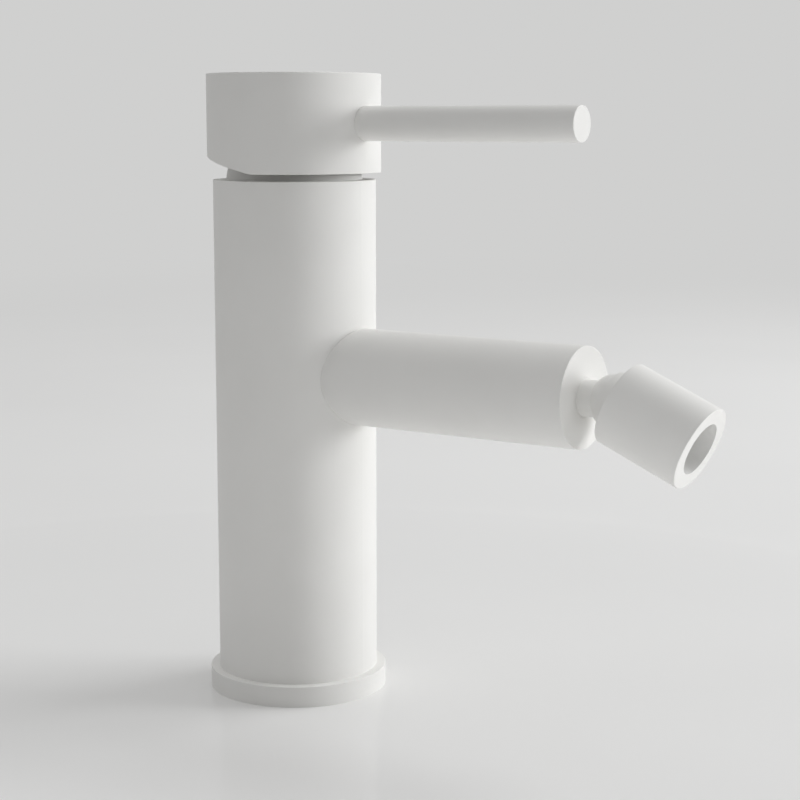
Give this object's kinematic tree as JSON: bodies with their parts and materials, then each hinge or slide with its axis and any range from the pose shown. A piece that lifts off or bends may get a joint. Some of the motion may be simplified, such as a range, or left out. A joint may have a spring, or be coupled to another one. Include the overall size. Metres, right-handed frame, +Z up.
{
  "type": "bidet mixer",
  "caption": "Deck-mounted single-lever bidet mixer in matte white with a straight round spout, a ball-jointed nozzle, a ceramic disc cartridge and an under-deck clamp.",
  "frame": {"origin": "on the deck, at the centre of the base ring's underside", "axes": "+X along the spout away from the body, +Z up along the body"},
  "size_m": [0.1538, 0.052, 0.2165],
  "materials": {
    "white_finish": "matte powder coat",
    "brass": "machined",
    "steel": "machined",
    "seal_rubber": "matte",
    "cartridge_plastic": "moulded",
    "disc_ceramic": "lapped"
  },
  "bodies": {
    "fixed": {"mixer_body": "white_finish", "base_ring": "white_finish", "base_seal": "seal_rubber", "spout": "white_finish", "cartridge_base": "cartridge_plastic", "port_seals": "seal_rubber", "fixed_disc": "disc_ceramic", "cartridge_housing": "cartridge_plastic", "cartridge_nut": "brass", "dome_cover": "white_finish", "fixing_stud": "steel", "shoe_gasket": "seal_rubber", "shoe_plate": "steel", "fixing_nut": "steel"},
    "guide": {"stem_guide": "steel", "pivot_pin": "steel"},
    "handle": {"stem": "steel", "handle": "white_finish", "lever": "white_finish", "grub_screw": "steel"},
    "disc": {"disc_coupler": "cartridge_plastic", "moving_disc": "disc_ceramic"},
    "ball": {"ball_stem": "white_finish", "stem_oring": "seal_rubber", "stem_circlip": "steel"},
    "seal": {"ball_seal": "seal_rubber"},
    "nozzle": {"nozzle_shell": "white_finish", "seal_gland": "brass", "aerator_washer": "seal_rubber", "aerator_sleeve": "cartridge_plastic", "aerator_diffuser": "cartridge_plastic", "aerator_grid": "cartridge_plastic"}
  },
  "joints": [
    {"name": "handle_swing", "type": "hinge", "parent": "fixed", "child": "guide", "pos_m": [0, 0, 0.1423], "axis": [0, 0, 1], "range_deg": [-50, 50]},
    {"name": "handle_lift", "type": "hinge", "parent": "guide", "child": "handle", "pos_m": [0, 0, 0.1423], "axis": [0, -1, 0], "range_deg": [0, 17]},
    {"name": "disc_slide", "type": "slide", "parent": "guide", "child": "disc", "axis": [1, 0, 0], "range_m": [0, 0.00381]},
    {"name": "nozzle_swivel", "type": "hinge", "parent": "fixed", "child": "ball", "pos_m": [0.1003, 0, 0.09025], "axis": [1, 0, 0], "continuous": true},
    {"name": "nozzle_tilt", "type": "hinge", "parent": "ball", "child": "seal", "pos_m": [0.1003, 0, 0.09025], "axis": [0, 1, 0], "range_deg": [-48.6, 1.4]},
    {"name": "nozzle_spin", "type": "hinge", "parent": "seal", "child": "nozzle", "pos_m": [0.1003, 0, 0.09025], "axis": [0.9164, 0, -0.4003], "continuous": true}
  ],
  "couplings": [
    {"joint": "disc_slide", "follows": "handle_lift", "m_per_rad": 0.01281}
  ]
}
